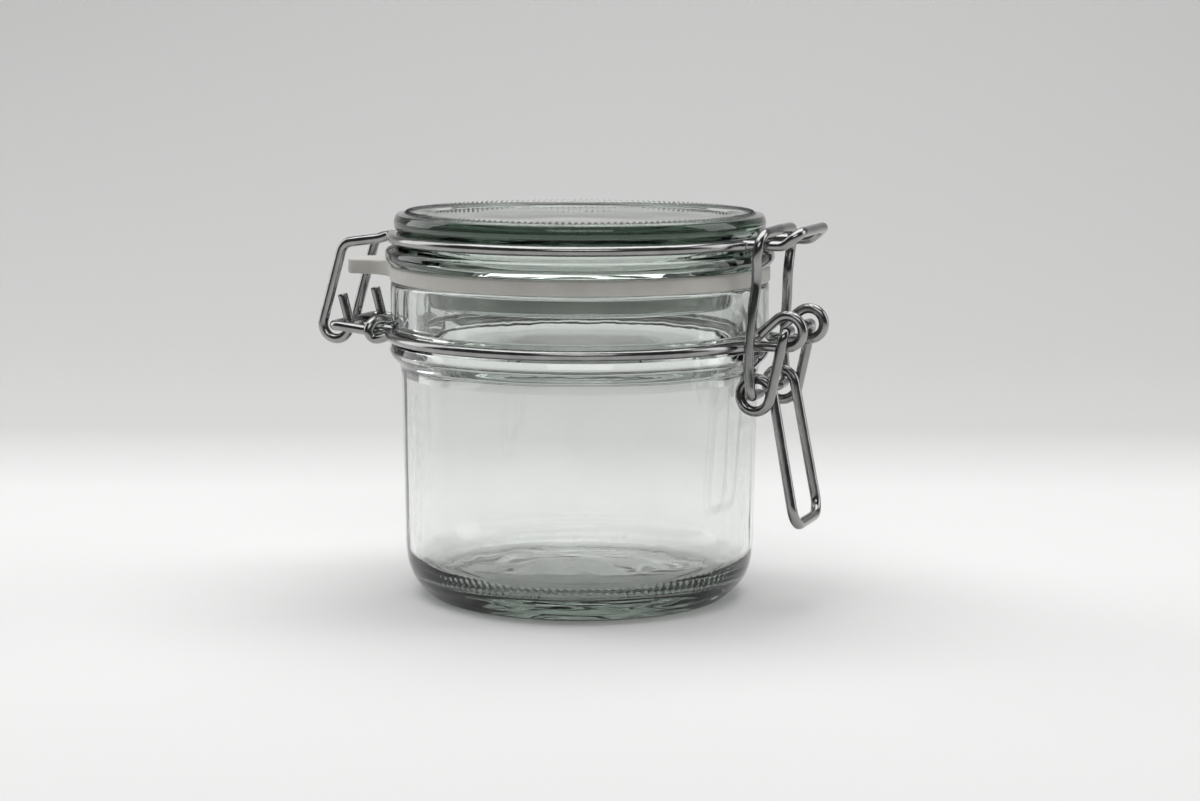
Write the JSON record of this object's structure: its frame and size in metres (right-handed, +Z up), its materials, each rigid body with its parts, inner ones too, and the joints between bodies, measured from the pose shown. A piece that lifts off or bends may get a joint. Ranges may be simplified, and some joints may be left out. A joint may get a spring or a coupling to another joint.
{
  "type": "clip-top glass jar",
  "caption": "Squat glass preserving jar with a hinged glass lid, a rubber sealing ring and a wire clasp with a lever and bail.",
  "frame": {"origin": "middle of the object's box, on the surface it stands on; the jar's own axis is 2.5 mm towards +X", "axes": "+Z up along the jar's axis, +X from the hinge towards the clasp, +Y to the left seen from the hinge looking at the clasp"},
  "size_m": [0.118, 0.0888, 0.0883],
  "materials": {
    "jar_glass": "clear pressed soda-lime glass",
    "lid_glass": "clear pressed soda-lime glass, greener where thick",
    "rubber": "matt off-white rubber",
    "wire": "bright drawn stainless wire",
    "clasp_wire": "bright drawn stainless wire, bent cold"
  },
  "bodies": {
    "root": {"jar": "jar_glass", "neck_wire": "wire"},
    "lid": {"lid": "lid_glass", "sealing_ring": "rubber", "lid_wire": "wire"},
    "lever": {"lever": "clasp_wire"},
    "bail": {"bail": "clasp_wire"}
  },
  "joints": [
    {"name": "lid_hinge", "type": "hinge", "parent": "root", "child": "lid", "pos_m": [-0.05447, 0, 0.0608], "axis": [0, -1, 0], "range_deg": [0, 195]},
    {"name": "lever_pivot", "type": "hinge", "parent": "root", "child": "lever", "pos_m": [0.05433, 0, 0.06335], "axis": [0, -1, 0], "range_deg": [0, 150], "deforming": ["bail"]},
    {"name": "bail_pivot", "type": "hinge", "parent": "lever", "child": "bail", "pos_m": [0.04763, 0, 0.0491], "axis": [0, -1, 0], "range_deg": [-150, 0]}
  ],
  "couplings": [
    {"joint": "bail_pivot", "follows": "lever_pivot", "ratio": -1}
  ]
}
